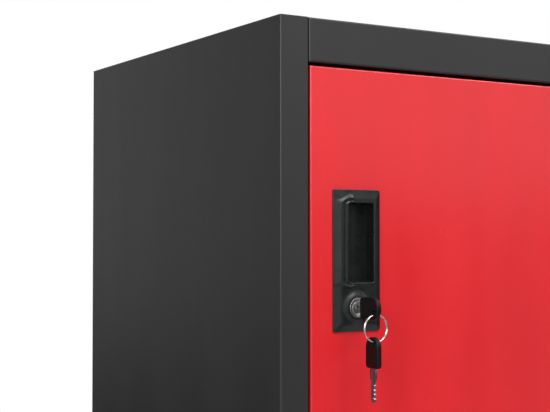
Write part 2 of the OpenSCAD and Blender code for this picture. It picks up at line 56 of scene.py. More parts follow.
# world: strength for diffuse light, and as seen directly or in a reflection
SKY_LIGHT, SKY_SEEN = 0.41, 1.0
FLOOR_R = 5
FLOOR_TONES = (0.80, 0.84)

# pull: u runs right and v up from the plate's lower left corner, heights rise from the door's face
PULL_W, PULL_H, PULL_CORNER = 47.6, 121.0, 1.6
PULL_FLAT, PULL_BOSS = 4.2, 6.1
RIM_LEFT, RIM_RIGHT, RIM_TOP, RIM_BOTTOM = 1.2, 2.3, 2.2, 1.2
BEVEL_LEFT, BEVEL_RIGHT, BEVEL_TOP, BEVEL_BOTTOM = 7, 5.2, 7, 6
BEVEL_BLEND, LEFT_BLEND = 0.35, 1.0
# rounding of the rim: how far in from the outline, and how far below the top
RIM_STEPS = ((0, 0.55), (0.05, 0.33), (0.18, 0.12))
RIM_IN = 0.4

# finger pocket: left, right, bottom, top
POCKET = (13.6, 40.1, 41.6, 109.6)
POCKET_R, POCKET_RIGHT_R, POCKET_LEAST_R = 3.5, 1.2, 0.04
POCKET_HALF = (POCKET[1] - POCKET[0]) / 2
POCKET_STEPS = (0, 0.1, 0.2, 0.32, 0.46, 0.62, 0.8, 1, 1.3, 1.7, 2.2, 2.8, 3.6, 4.6, 6, 8, 10, 12,
                POCKET_HALF)
POCKET_WALL, POCKET_DEPTH, WALL_SLOPE = 1.6, 8, 15
BACK_R, BACK_RIGHT_R = 1.5, 1.0
EDGE_RUN, EDGE_DROP = 0.7, 0.6
# the floor rises to the left of SCOOP_FROM, and meets the wall in a wider round to the right of WIDE_FROM
SCOOP_FROM, SCOOP_RUN, SCOOP_RISE, SCOOP_CURVE = 38, 20, 4.5, 1.5
FLOOR_BLEND, WIDE_BLEND, WIDE_FROM = 1.6, 3.0, 30

# lip round the pocket's left: heights by distance from the pocket, drawn closer above and below it
CREST, CREST_H = 8.0, 5.35
LIP = ((-1, 5.0), (0, 5.0), (1.6, 5.05), (3.4, 4.4), (5.0, 5.05), (CREST, CREST_H))
LIP_END = (16.6, 20.4)
LOW_STRETCH, HIGH_STRETCH = 2.2, 1.82
FLANK_SLOPE, LOW_FLANK_SLOPE, LOW_FLANK_RUN = 0.73, 1.0, 5
FLANK_BLEND, PLATE_BLEND = 0.2, 0.5
# rows of the mesh from the rim to the crest, and from there to the pocket, closer together near the end
RIM_LEVELS, LIP_LEVELS, LEVEL_CURVE = 46, 34, 1.5

# lock: radii, and lengths behind its front
LOCK_U, LOCK_V = 22.1, 20.5
BOSS_SLOPE = (9.4, 15.0)
LOCK_RIM_R, LOCK_RIM_T = 8.4, 1.3
BARREL_R, BARREL_BORE_R = 7.8, 6.0
LEDGE_R, LEDGE_IN = 6.8, 1.5
BARREL_START = 3
THREAD_IN, THREAD_PITCH, THREAD_TOP_R, THREAD_ROOT_R, THREAD_END = 9, 0.8, 7.78, 7.45, 1
LOCK_ROUND, PLUG_ROUND = 0.32, 0.12
# bore through the pull, from the door's face
BORE_R, BORE_RIM_R = 7.95, 8.55
BORE_FRONT, BORE_STEP, BORE_BACK = -9, -5, 3
PLUG_R, PLUG_FACE_R, PLUG_FACE_T = 5.95, 6.75, 0.9
DISH_R, DISH_MIDDLE_R, DISH_IN, DISH_LIP_IN = 6.4, 4.6, 0.75, 0.15
TAIL_HALF = 3.5
KEYWAY_HALF_T, KEYWAY_END = 1.3, 0.3
KEYWAY_HALF_COLLAR, KEYWAY_HALF_BLADE = 4.3, 2.7

# keys, drawn from the hole in the bow: length along +Y
BOW_L, BOW_W, BOW_T = 26.0, 18.5, 4.6
BOW_ROUND, BOW_CORNER, BOW_EDGE, BOW_CROWN = 8.8, 3, 1.1, 0.12
HOLE_IN, HOLE_SIDE, HOLE_R, HOLE_EDGE = 5.5, 3.5, 2.75, 0.5
BLADE_L, BLADE_W, BLADE_T, BLADE_IN = 18.7, 4.8, 2.0, 9
COLLAR_L, COLLAR_W, COLLAR_GAP, COLLAR_CUT = 9.7, 8.0, 0.2, 0.6
CUT_DEPTHS, CUT_PITCH, CUT_HALF, TIP_CUT = (0.7, 1.2, 0.9, 1.2), 3.6, 0.35, 0.5
GROOVE_MIDDLE, GROOVE_HALF_L, GROOVE_SIDE, GROOVE_HALF_W, GROOVE_DEPTH = 16, 15, 0.9, 0.5, 0.35
BLADE_EDGE = 0.13
SPARE_TURN = -2

# ring and screws: RING_R is only the node group's default, a ring takes its radius from the frame
RING_R, RING_WIRE_R, RING_COIL_STEP, RING_START = 11.4, 0.56, 1.08, 200
RING_INSIDE = 0.6
# head radius, head height, shank radius
BACK_SCREW = (3.6, 2.0, 2.0)
PULL_SCREW = (3.0, 1.75, 1.25)
CAM_SCREW = (4.7, 2.4, 2.0)

# feet: radius and height from the floor along the profile, up to the plug that holds the foot
FOOT_PLUG_R = 4
FOOT_PROFILE = ((0, 0.4), (9, 0.4), (10, 0), (13, 0), (15, 2.2), (15, 6), (FOOT_PLUG_R, 6))


# camera, lamps and cards

def set_camera():
    data = bpy.data.cameras.new("camera")
    data.lens = LENS
    data.sensor_width = SENSOR
    data.clip_start = 0.05
    data.clip_end = 50
    camera = bpy.data.objects.new("camera", data)
    camera.location = CAMERA_PLACE
    camera.rotation_euler = (radians(CAMERA_TILT), 0, radians(CAMERA_HEADING))
    scene.collection.objects.link(camera)
    scene.camera = camera


def soft_lamp(name, spot, aim, width, height, watts, glint=False):
    """A studio lamp. A glint lamp only draws highlights along edges and lights nothing else."""
    data = bpy.data.lights.new(name, "AREA")
    data.shape = "RECTANGLE"
    data.size = width
    data.size_y = height
    data.energy = watts
    lamp = bpy.data.objects.new(name, data)
    lamp.location = spot
    lamp.rotation_euler = (Vector(aim) - Vector(spot)).to_track_quat("-Z", "Y").to_euler()
    lamp.visible_camera = False
    lamp.visible_diffuse = not glint
    scene.collection.objects.link(lamp)


def dark_card(name, foot, facing, width, height, coat):
    """A dark studio card, seen only in reflections, so that the floor stays plain."""
    mesh = bmesh.new()
    bmesh.ops.create_grid(mesh, x_segments=1, y_segments=1, size=0.5)
    turn = Vector((facing[0], facing[1], 0)).to_track_quat("Z", "Y").to_matrix().to_4x4()
    size = Matrix.Translation((0, height / 2, 0)) @ Matrix.Diagonal((width, height, 1, 1))
    mesh.transform(Matrix.Translation(foot) @ turn @ size)
    data = bpy.data.meshes.new(name)
    mesh.to_mesh(data)
    mesh.free()
    data.materials.append(coat)
    card = bpy.data.objects.new(name, data)
    card.visible_camera = card.visible_diffuse = card.visible_shadow = False
    scene.collection.objects.link(card)


def card_paint(name, low, high, *ramps):
    """Card paint that grows lighter along one axis or two."""
    material, tree, shader, spot = new_material(name)
    rise = 1.0
    for axis, low_end, high_end in ramps:
        along = add(tree, "ShaderNodeSeparateXYZ", {0: spot}).outputs[axis]
        rise = calc(tree, "MULTIPLY", rise, span(tree, along, low_end, high_end))
    tree.links.new(blend(tree, rise, grey(low), grey(high)), shader.inputs["Base Color"])
    shader.inputs["Roughness"].default_value = 1.0
    return material


# nodes

def add(tree, kind, wires=None, **settings):
    """A new node with its settings, and its inputs linked or set."""
    node = tree.nodes.new(kind)
    for name, value in settings.items():
        setattr(node, name, value)
    for name, value in (wires or {}).items():
        if isinstance(value, bpy.types.NodeSocket):
            tree.links.new(value, node.inputs[name])
        else:
            node.inputs[name].default_value = value
    return node


def calc(tree, operation, a, b=0.0):
    return add(tree, "ShaderNodeMath", {0: a, 1: b}, operation=operation).outputs[0]


def span(tree, value, low, high, to_low=0.0, to_high=1.0):
    return add(tree, "ShaderNodeMapRange", {"Value": value, "From Min": low, "From Max": high,
                                            "To Min": to_low, "To Max": to_high}).outputs[0]


def blend(tree, share, a, b):
    return add(tree, "ShaderNodeMix", {0: share, 6: a, 7: b}, data_type="RGBA").outputs[2]


def noise(tree, spot, size_mm, detail=2.0, rough=0.5):
    return add(tree, "ShaderNodeTexNoise", {"Vector": spot, "Scale": 1 / (size_mm * MM), "Detail": detail,
                                            "Roughness": rough}).outputs["Fac"]


def use(tree, group, **wires):
    return add(tree, "ShaderNodeGroup", wires, node_tree=group).outputs


def shade(colour, share):
    return tuple(channel * share for channel in colour) + (1.0,)


def grey(tone):
    return (tone, tone, tone, 1.0)


# shared effects

def effect(name, takes, gives):
    tree = bpy.data.node_groups.new(name, "ShaderNodeTree")
    for label, kind, value in takes:
        socket = tree.interface.new_socket(label, in_out="INPUT", socket_type="NodeSocket" + kind)
        if kind == "Float":
            socket.default_value = value
    for label in gives:
        tree.interface.new_socket(label, in_out="OUTPUT", socket_type="NodeSocketFloat")
    return tree, tree.nodes.new("NodeGroupInput").outputs, tree.nodes.new("NodeGroupOutput")


def powder_coat_effect():
    """Fine orange peel, tall waves of the sheet, and slow drifts of tone and gloss."""
    tree, take, give = effect("powder_coat", [("Place", "Vector", 0), ("Peel", "Float", 0.01),
                                              ("Wave", "Float", 0.2)], ("Height", "Tone", "Dull"))
    peel = noise(tree, take["Place"], 1.6, 1.5)
    tall = add(tree, "ShaderNodeMapping", {"Vector": take["Place"], "Scale": (1, 1, 0.3)}).outputs[0]
    wave = noise(tree, tall, 42)
    drift = noise(tree, tall, 60, 1.0)
    speck = noise(tree, take["Place"], 0.7, 0.0)
    high = calc(tree, "ADD", calc(tree, "MULTIPLY", peel, take["Peel"]),
                calc(tree, "MULTIPLY", wave, take["Wave"]))
    tree.links.new(high, give.inputs["Height"])
    tone = calc(tree, "ADD", span(tree, drift, 0.3, 0.7, -0.5, 0.5), span(tree, speck, 0.3, 0.7, -0.1, 0.1))
    tree.links.new(tone, give.inputs["Tone"])
    tree.links.new(span(tree, calc(tree, "ADD", drift, peel), 0.7, 1.3), give.inputs["Dull"])
    return tree


def edge_wear_and_highlight_effect():
    """Where a rounded normal leaves the true one, in patches."""
    tree, take, give = effect("edge_rub", [("Place", "Vector", 0), ("Radius", "Float", 0.001)], ("Mask",))
    soft = add(tree, "ShaderNodeBevel", {"Radius": take["Radius"]}, samples=4).outputs[0]
    flat = add(tree, "ShaderNodeNewGeometry").outputs["Normal"]
    turn = add(tree, "ShaderNodeVectorMath", {0: soft, 1: flat}, operation="DOT_PRODUCT").outputs["Value"]
    wear_and_highlight = calc(tree, "MULTIPLY", span(tree, turn, 0.985, 0.86),
                span(tree, noise(tree, take["Place"], 6, 3.0), 0.35, 0.65, 0.35, 1.0))
    tree.links.new(wear_and_highlight, give.inputs["Mask"])
    return tree


def dust_effect():
    """Patches of dust on what faces up."""
    tree, take, give = effect("settled_dust", [("Place", "Vector", 0)], ("Mask",))
    normal = add(tree, "ShaderNodeNewGeometry").outputs["Normal"]
    up = add(tree, "ShaderNodeSeparateXYZ", {0: normal}).outputs["Z"]
    patchy = span(tree, noise(tree, take["Place"], 60, 5.0, 0.6), 0.3, 0.8)
    tree.links.new(calc(tree, "MULTIPLY", span(tree, up, 0.55, 0.95), patchy), give.inputs["Mask"])
    return tree


def grain_effect():
    """The spark-eroded grain of a mould, and the flow of the plastic."""
    tree, take, give = effect("moulded_grain", [("Place", "Vector", 0), ("Size", "Float", 1500.0)],
                              ("Height", "Tone"))
    cells = add(tree, "ShaderNodeTexVoronoi", {"Vector": take["Place"], "Scale": take["Size"]})
    tree.links.new(cells.outputs["Distance"], give.inputs["Height"])
    flow = noise(tree, take["Place"], 9, 3.0)
    tree.links.new(span(tree, flow, 0.3, 0.7, -0.5, 0.5), give.inputs["Tone"])
    return tree


def scratch_effect():
    """Fine scratches in two directions."""
    tree, take, give = effect("fine_scratches", [("Place", "Vector", 0), ("Density", "Float", 0.6)],
                              ("Mask",))
    marks = []
    for turn in (0.35, -0.8):
        along = add(tree, "ShaderNodeMapping", {"Vector": take["Place"], "Rotation": (turn, turn * 0.6, 0.4),
                                                "Scale": (900, 900, 35)}).outputs[0]
        lines = add(tree, "ShaderNodeTexNoise", {"Vector": along, "Scale": 1.0, "Detail": 1.0}).outputs["Fac"]
        marks.append(span(tree, lines, take["Density"], 0.78))
    tree.links.new(calc(tree, "MAXIMUM", *marks), give.inputs["Mask"])
    return tree


def turned_effect():
    """Turning marks: rings round the Y axis."""
    tree, take, give = effect("turned_rings", [("Place", "Vector", 0), ("Pitch", "Float", 0.00025)],
                              ("Height", "Tone"))
    split = add(tree, "ShaderNodeSeparateXYZ", {0: take["Place"]}).outputs
    squares = [calc(tree, "MULTIPLY", split[axis], split[axis]) for axis in "XZ"]
    radius = calc(tree, "SQRT", calc(tree, "ADD", *squares))
    count = add(tree, "ShaderNodeCombineXYZ", {"X": calc(tree, "DIVIDE", radius, take["Pitch"])}).outputs[0]
    rings = add(tree, "ShaderNodeTexNoise", {"Vector": count, "Scale": 1.0, "Detail": 2.0}).outputs["Fac"]
    tree.links.new(rings, give.inputs["Height"])
    tree.links.new(span(tree, rings, 0.3, 0.7, -0.5, 0.5), give.inputs["Tone"])
    return tree


powder_coat = powder_coat_effect()
edge_rub = edge_wear_and_highlight_effect()
settled_dust = dust_effect()
moulded_grain = grain_effect()
fine_scratches = scratch_effect()
turned_rings = turned_effect()


# materials

def new_material(name):
    material = bpy.data.materials.new(name)
    material.use_nodes = True
    tree = material.node_tree
    spot = add(tree, "ShaderNodeTexCoord").outputs["Object"]
    return material, tree, tree.nodes["Principled BSDF"], spot


def bump(tree, shader, height, depth_mm, strength=1.0, soften_mm=0):
    node = add(tree, "ShaderNodeBump", {"Height": height, "Distance": depth_mm * MM, "Strength": strength})
    if soften_mm:
        soft = add(tree, "ShaderNodeBevel", {"Radius": soften_mm * MM}, samples=6).outputs[0]
        tree.links.new(soft, node.inputs["Normal"])
    tree.links.new(node.outputs[0], shader.inputs["Normal"])


def painted_sheet(name, colour, worn_and_lit_edge, rough, peel, wave, dust, specular=0.5):
    """Powder-coated sheet, paler at its bends, partly as edge wear and partly as a painted highlight along
    the bends, with dust on top.
    """
    material, tree, shader, spot = new_material(name)
    coat = use(tree, powder_coat, Place=spot, Peel=peel, Wave=wave)
    body = blend(tree, span(tree, coat["Tone"], -0.75, 0.75), shade(colour, 0.93), shade(colour, 1.07))
    # painted highlight mixed with edge wear: the bends are blended towards a paler edge colour that stands
    # for the light they catch
    bends = use(tree, edge_rub, Place=spot, Radius=1.1 * MM)["Mask"]
    wear_and_highlight = blend(tree, calc(tree, "MULTIPLY", bends, 0.7), body, shade(worn_and_lit_edge, 1.0))
    dusty = calc(tree, "MULTIPLY", use(tree, settled_dust, Place=spot)["Mask"], dust)
    tree.links.new(blend(tree, dusty, wear_and_highlight, (0.33, 0.31, 0.29, 1.0)), shader.inputs["Base Color"])
    marks = use(tree, fine_scratches, Place=spot, Density=0.66)["Mask"]
    dull = calc(tree, "ADD", span(tree, coat["Dull"], 0, 1, rough - 0.04, rough + 0.05),
                calc(tree, "MULTIPLY", marks, 0.02))
    tree.links.new(calc(tree, "ADD", dull, calc(tree, "MULTIPLY", dusty, 0.4)), shader.inputs["Roughness"])
    shader.inputs["Specular IOR Level"].default_value = specular
    bump(tree, shader, coat["Height"], 1.0, soften_mm=1.1)
    return material


def moulded(name, colour, rough, grain_size, grain_depth, specular=0.5, worn_and_lit_edge=0.35):
    """Moulded plastic or rubber with a fine grain, rubbed paler at its edges."""
    material, tree, shader, spot = new_material(name)
    grain = use(tree, moulded_grain, Place=spot, Size=1 / (grain_size * MM))
    body = blend(tree, span(tree, grain["Tone"], -0.5, 0.5), shade(colour, 0.85), shade(colour, 1.15))
    pale = shade([channel * 2.2 + 0.01 for channel in colour], 1.0)
    wear_and_highlight = calc(tree, "MULTIPLY", use(tree, edge_rub, Place=spot, Radius=0.6 * MM)["Mask"], worn_and_lit_edge)
    tree.links.new(blend(tree, wear_and_highlight, body, pale), shader.inputs["Base Color"])
    marks = use(tree, fine_scratches, Place=spot, Density=0.62)["Mask"]
    tree.links.new(calc(tree, "ADD", span(tree, grain["Tone"], -0.5, 0.5, rough - 0.04, rough + 0.05),
                        calc(tree, "MULTIPLY", marks, 0.08)), shader.inputs["Roughness"])
    shader.inputs["Specular IOR Level"].default_value = specular
    bump(tree, shader, grain["Height"], grain_depth)
    return material


def plated(name, colour, rough, scratch_depth):
    """Plated steel with clouds, grime and fine scratches."""
    material, tree, shader, spot = new_material(name)
    marks = use(tree, fine_scratches, Place=spot, Density=0.55)["Mask"]
    cloud = noise(tree, spot, 5, 3.0)
    body = blend(tree, span(tree, cloud, 0.35, 0.65), shade(colour, 0.9), shade(colour, 1.05))
    grime = calc(tree, "MULTIPLY", span(tree, noise(tree, spot, 2.2, 4.0, 0.6), 0.55, 0.8), 0.25)
    tree.links.new(blend(tree, grime, body, shade(colour, 0.45)), shader.inputs["Base Color"])
    tree.links.new(calc(tree, "ADD", span(tree, cloud, 0.3, 0.7, rough - 0.04, rough + 0.06),
                        calc(tree, "MULTIPLY", marks, 0.12)), shader.inputs["Roughness"])
    shader.inputs["Metallic"].default_value = 1.0
    bump(tree, shader, marks, scratch_depth, 0.6)
    return material


def turned_metal(name, colour, rough, centre):
    """Turned metal, with its turning marks round the given centre."""
    material, tree, shader, spot = new_material(name)
    local = add(tree, "ShaderNodeMapping", {"Vector": spot, "Location": [-c for c in centre]}).outputs[0]
    rings = use(tree, turned_rings, Place=local, Pitch=0.22 * MM)
    marks = use(tree, fine_scratches, Place=spot, Density=0.6)["Mask"]
    body = blend(tree, span(tree, rings["Tone"], -0.5, 0.5), shade(colour, 0.86), shade(colour, 1.06))
    tree.links.new(blend(tree, calc(tree, "MULTIPLY", marks, 0.2), body, shade(colour, 0.55)),
                   shader.inputs["Base Color"])
    tree.links.new(span(tree, rings["Tone"], -0.5, 0.5, rough - 0.05, rough + 0.07),
                   shader.inputs["Roughness"])
    shader.inputs["Metallic"].default_value = 1.0
    bump(tree, shader, rings["Height"], 0.02)
    return material


# the paler edge colours stand partly for wear and partly for a painted highlight along the bends, pink on the
# red door
carcass_paint = painted_sheet("carcass_paint", (0.029, 0.029, 0.0295), worn_and_lit_edge=(0.13, 0.13, 0.13), rough=0.36,
                              peel=0.008, wave=0.30, dust=0.05, specular=0.3)
door_paint = painted_sheet("door_paint", (0.73, 0.0195, 0.026), worn_and_lit_edge=(0.90, 0.30, 0.30), rough=0.22,
                           peel=0.002, wave=1.1, dust=0.06)
pull_plastic = moulded("pull_plastic", (0.0090, 0.0108, 0.0104), rough=0.29, grain_size=0.45,
                       grain_depth=0.005, specular=0.35)
bow_plastic = moulded("bow_plastic", (0.0035, 0.0037, 0.0050), rough=0.46, grain_size=0.6,
                      grain_depth=0.004, specular=0.15, worn_and_lit_edge=0.2)
foot_plastic = moulded("foot_plastic", (0.020, 0.020, 0.020), rough=0.55, grain_size=0.6, grain_depth=0.012)
pad_rubber = moulded("pad_rubber", (0.028, 0.028, 0.028), rough=0.75, grain_size=0.35,
                     grain_depth=0.015, specular=0.3)
washer_nylon = moulded("washer_nylon", (0.72, 0.71, 0.66), rough=0.45, grain_size=0.5, grain_depth=0.004)
zinc_plate = plated("zinc_plate", (0.60, 0.60, 0.57), rough=0.34, scratch_depth=0.004)
key_nickel = plated("key_nickel", (0.20, 0.21, 0.24), rough=0.32, scratch_depth=0.003)
ring_steel = plated("ring_steel", (0.52, 0.51, 0.49), rough=0.20, scratch_depth=0.003)


# mesh tools

def loft(rows, wrap=False):
    """Closed rows of points, each joined to the next one."""
    mesh = bmesh.new()
    made = [[mesh.verts.new(Vector(p) * MM) for p in row] for row in rows]
    for a, b in zip(made, made[1:] + made[:1] if wrap else made[1:]):
        for k in range(len(a)):
            n = (k + 1) % len(a)
            mesh.faces.new((a[k], a[n], b[n], b[k]))
    bmesh.ops.remove_doubles(mesh, verts=mesh.verts, dist=2e-6)
    bmesh.ops.dissolve_degenerate(mesh, edges=mesh.edges, dist=1e-7)
    bmesh.ops.recalc_face_normals(mesh, faces=mesh.faces)
    return mesh


def turned(profile, centre, axis="Y", around=96):
    """A profile of (radius, distance along the axis), turned about the axis through centre."""
    rows = []
    for radius, along in profile:
        row = []
        for k in range(around):
            a, b = radius * cos(2 * pi * k / around), radius * sin(2 * pi * k / around)
            spot = (a, along, b) if axis == "Y" else (a, b, along)
            row.append([c + s for c, s in zip(centre, spot)])
        rows.append(row)
    return loft(rows, wrap=profile[0][0] > 0)


def rounded(profile, radius, steps=4):
    """The profile with its corners rounded."""
    out = []
    for k, here in enumerate(profile):
        before, after = profile[k - 1], profile[(k + 1) % len(profile)]
        here = Vector(here)
        a, b = Vector(before) - here, Vector(after) - here
        if here.x == 0 or a.length < 1e-6 or b.length < 1e-6 or a.angle(b) > 3:
            out.append(tuple(here))
            continue
        cut = min(radius, a.length * 0.45, b.length * 0.45)
        a, b = here + a.normalized() * cut, here + b.normalized() * cut
        for s in range(steps + 1):
            t = s / steps
            out.append(tuple(a * (1 - t) ** 2 + here * 2 * t * (1 - t) + b * t * t))
    return out


def part_way(a, b, share):
    return (a[0] + (b[0] - a[0]) * share, a[1] + (b[1] - a[1]) * share)


def between(start, end, share):
    """The row of points that lies part of the way from one row to another."""
    return [part_way(a, b, share) for a, b in zip(start, end)]


def round_loop(u0, u1, v0, v1, left_r, right_r, flat=(1, 1), across=56, up=80, corner=22):
    """Points round a rectangle with rounded corners, the same number for every size.

    The left corners are flattened in v: the lower by flat[0], the upper by flat[1].
    """
    corners = ((u0 + left_r, v0 + left_r / flat[0], left_r, left_r / flat[0], 180),
               (u1 - right_r, v0 + right_r, right_r, right_r, 270),
               (u1 - right_r, v1 - right_r, right_r, right_r, 0),
               (u0 + left_r, v1 - left_r / flat[1], left_r, left_r / flat[1], 90))
    arcs = []
    for u, v, wide, tall, first in corners:
        turns = [radians(first + 90 * k / corner) for k in range(corner + 1)]
        arcs.append([(u + wide * cos(turn), v + tall * sin(turn)) for turn in turns])
    points = []
    for k in range(4):
        count = up if k % 2 else across
        points += arcs[k]
        points += [part_way(arcs[k][-1], arcs[(k + 1) % 4][0], n / count) for n in range(1, count)]
    return points


def block(mesh, low, high):
    """Adds a box between two corners to a mesh."""
    middle = [(a + b) / 2 * MM for a, b in zip(low, high)]
    size = [(b - a) * MM for a, b in zip(low, high)]
    bmesh.ops.create_cube(mesh, size=1, matrix=Matrix.Translation(middle) @ Matrix.Diagonal(size + [1]))
    return mesh


def smooth(data, crease):
    data.shade_smooth()
    data.set_sharp_from_angle(angle=radians(crease))


def to_object(name, mesh, material, crease=40):
    data = bpy.data.meshes.new(name)
    mesh.to_mesh(data)
    mesh.free()
    data.materials.append(material)
    smooth(data, crease)
    piece = bpy.data.objects.new(name, data)
    scene.collection.objects.link(piece)
    return piece


def settle(piece, crease):
    """Turns what the modifiers make into the piece's own mesh."""
    bpy.context.view_layer.update()
    made = bpy.data.meshes.new_from_object(piece.evaluated_get(bpy.context.evaluated_depsgraph_get()))
    piece.modifiers.clear()
    piece.data = made
    smooth(made, crease)
    return piece


def cut_away(piece, cutter, crease):
    tool = to_object("cutter", cutter, piece.data.materials[0])
    modifier = piece.modifiers.new("cut", "BOOLEAN")
    modifier.object = tool
    modifier.operation = "DIFFERENCE"
    modifier.solver = "EXACT"
    settle(piece, crease)
    bpy.data.objects.remove(tool)


def seat(piece, body, slot, *nodes):
    """Says what a finished piece rides on and stands for. Its slot is not used."""
    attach(piece, body)
    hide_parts(*nodes)


def solids(node):
    """Lowest and highest corner of each solid of a node."""
    mesh = bmesh.new()
    mesh.from_mesh(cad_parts[node].data)
    bmesh.ops.remove_doubles(mesh, verts=mesh.verts, dist=1e-6)
    left, found = set(mesh.verts), []
    while left:
        reach, island = [left.pop()], []
        while reach:
            vert = reach.pop()
            island.append(vert.co.copy())
            for edge in vert.link_edges:
                other = edge.other_vert(vert)
                if other in left:
                    left.remove(other)
                    reach.append(other)
        found.append(tuple([pick(c[k] for c in island) for k in range(3)] for pick in (min, max)))
    mesh.free()
    return sorted(found)


def soft_min(a, b, k):
    h = max(k - abs(a - b), 0) / k
    return min(a, b) - h * h * k / 4


def soft_max(a, b, k):
    return -soft_min(-a, -b, k)


def ease(low, high, x):
    t = min(max((x - low) / (high - low), 0), 1)
    return t * t * (3 - 2 * t)


def along_line(points, x):
    """Height of a smooth line through the points."""
    for (x0, y0), (x1, y1) in zip(points, points[1:]):
        if x <= x1:
            return y0 + (y1 - y0) * ease(x0, x1, x)
    return points[-1][1]


# the pull: bevelled plate, raised C-shaped lip, scooped finger pocket, boss round the lock

def lip_distance(u, v):
    """Distance outside the pocket, counted as on the lip's left side, and how far it is stretched there."""
    left, _, bottom, top = POCKET
    stretch = HIGH_STRETCH if v > (bottom + top) / 2 else LOW_STRETCH
    across = max(left + POCKET_R - u, 0)
    over = max(v - top, bottom - v) * stretch + POCKET_R
    if across == 0 and over <= 0:
        return over - POCKET_R, 1.0
    over = max(over, 0)
    return hypot(across, over) - POCKET_R, (across + over * stretch) / (across + over)


def plate_height(u, v):
    """Height of the plate's front outside the pocket."""
    high = PULL_FLAT
    for rim, bevel, inside, softness in ((RIM_RIGHT, BEVEL_RIGHT, PULL_W - u, BEVEL_BLEND),
                                         (RIM_TOP, BEVEL_TOP, PULL_H - v, BEVEL_BLEND),
                                         (RIM_BOTTOM, BEVEL_BOTTOM, v, BEVEL_BLEND),
                                         (RIM_LEFT, BEVEL_LEFT, u, LEFT_BLEND)):
        high = soft_min(high, rim + (PULL_FLAT - rim) * inside / bevel, softness)
    far, size = lip_distance(u, v)
    if far < CREST:
        lip = along_line(LIP, far)
    else:
        slope = FLANK_SLOPE + (LOW_FLANK_SLOPE - FLANK_SLOPE) * ease(0, LOW_FLANK_RUN, POCKET[2] - v)
        flank = soft_min(CREST_H - slope * (far - CREST) / size, RIM_LEFT + FLANK_SLOPE * u, FLANK_BLEND)
        lip = soft_max(high, flank, PLATE_BLEND)
    high += (lip - high) * (1 - ease(*LIP_END, u))
    return high + (PULL_BOSS - PULL_FLAT) * (1 - ease(*BOSS_SLOPE, hypot(u - LOCK_U, v - LOCK_V)))


def edge_round(height, near):
    """Rounds the plate off where it meets the pocket."""
    if near >= EDGE_RUN:
        return height
    return height - EDGE_DROP * (1 - sqrt(1 - (1 - near / EDGE_RUN) ** 2))


def pocket_floor(u):
    return SCOOP_RISE * (max(SCOOP_FROM - u, 0) / SCOOP_RUN) ** SCOOP_CURVE - POCKET_DEPTH


def pull_rows(corner):
    """Rows of points over the pull: the pocket's back, the rim, the plate with its lip, and the pocket."""
    x, y, z = corner
    left, right, bottom, top = POCKET

    def row(points, heights):
        return [(x + u, y - h, z + v) for (u, v), h in zip(points, heights)]

    def plate(inset):
        corner_r = PULL_CORNER - inset
        return round_loop(inset, PULL_W - inset, inset, PULL_H - inset, corner_r, corner_r)

    def pocket(inset, left_r, right_r):
        return round_loop(left + inset, right - inset, bottom + inset, top - inset, left_r, right_r)

    back, middle = pocket(-POCKET_WALL, BACK_R, BACK_RIGHT_R), pocket(POCKET_HALF, 0, 0)
    rows = []
    for share in (1, 0.75, 0.5, 0.25, 0.1, 0):
        points = between(back, middle, share)
        rows.append(row(points, [min(pocket_floor(u) - POCKET_WALL, -0.1) for u, v in points]))
    rows += [row(points, [0] * len(points)) for points in (back, plate(0))]

    rim, edge = plate(RIM_IN), pocket(0, POCKET_R, POCKET_RIGHT_R)
    for inset, drop in RIM_STEPS:
        rows.append(row(plate(inset), [plate_height(u, v) - drop for u, v in rim]))
    crest = round_loop(left - CREST, PULL_W - BEVEL_RIGHT, bottom - CREST / LOW_STRETCH,
                       top + CREST / HIGH_STRETCH, POCKET_R + CREST, POCKET_RIGHT_R,
                       flat=(LOW_STRETCH, HIGH_STRETCH))
    for start, end, levels in ((rim, crest, RIM_LEVELS), (crest, edge, LIP_LEVELS)):
        for k in range(levels):
            points = between(start, end, 1 - (1 - k / levels) ** LEVEL_CURVE)
            rows.append(row(points, [edge_round(plate_height(u, v), hypot(b[0] - u, b[1] - v))
                                     for (u, v), b in zip(points, edge)]))

    edge_tops = [plate_height(u, v) - EDGE_DROP for u, v in edge]
    for inset in POCKET_STEPS:
        least = POCKET_LEAST_R if inset < POCKET_HALF else 0
        points = pocket(inset, max(POCKET_R - inset, least), max(POCKET_RIGHT_R - inset, least))
        heights = []
        for (u, v), edge_top in zip(points, edge_tops):
            blend_width = WIDE_BLEND if u > WIDE_FROM else FLOOR_BLEND
            heights.append(soft_max(pocket_floor(u), edge_top - WALL_SLOPE * inset, blend_width))
        rows.append(row(points, heights))
    return rows


def make_pull(door):
    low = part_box(door + "_handle")[0]
    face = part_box(door + "_door_panel")[0].y / MM
    corner = (low.x / MM, face, low.z / MM)
    pull = to_object(door + "_pull", loft(pull_rows(corner)), pull_plastic, 50)
    bore = turned([(0, BORE_FRONT), (BORE_RIM_R, BORE_FRONT), (BORE_RIM_R, BORE_STEP), (BORE_R, BORE_STEP),
                   (BORE_R, BORE_BACK), (0, BORE_BACK)], (corner[0] + LOCK_U, face, corner[2] + LOCK_V))
    cut_away(pull, bore, 50)
    seat(pull, door + "_door", "handle_plastic", door + "_handle")


# the lock: rim with its threaded barrel, and the plug that turns in it

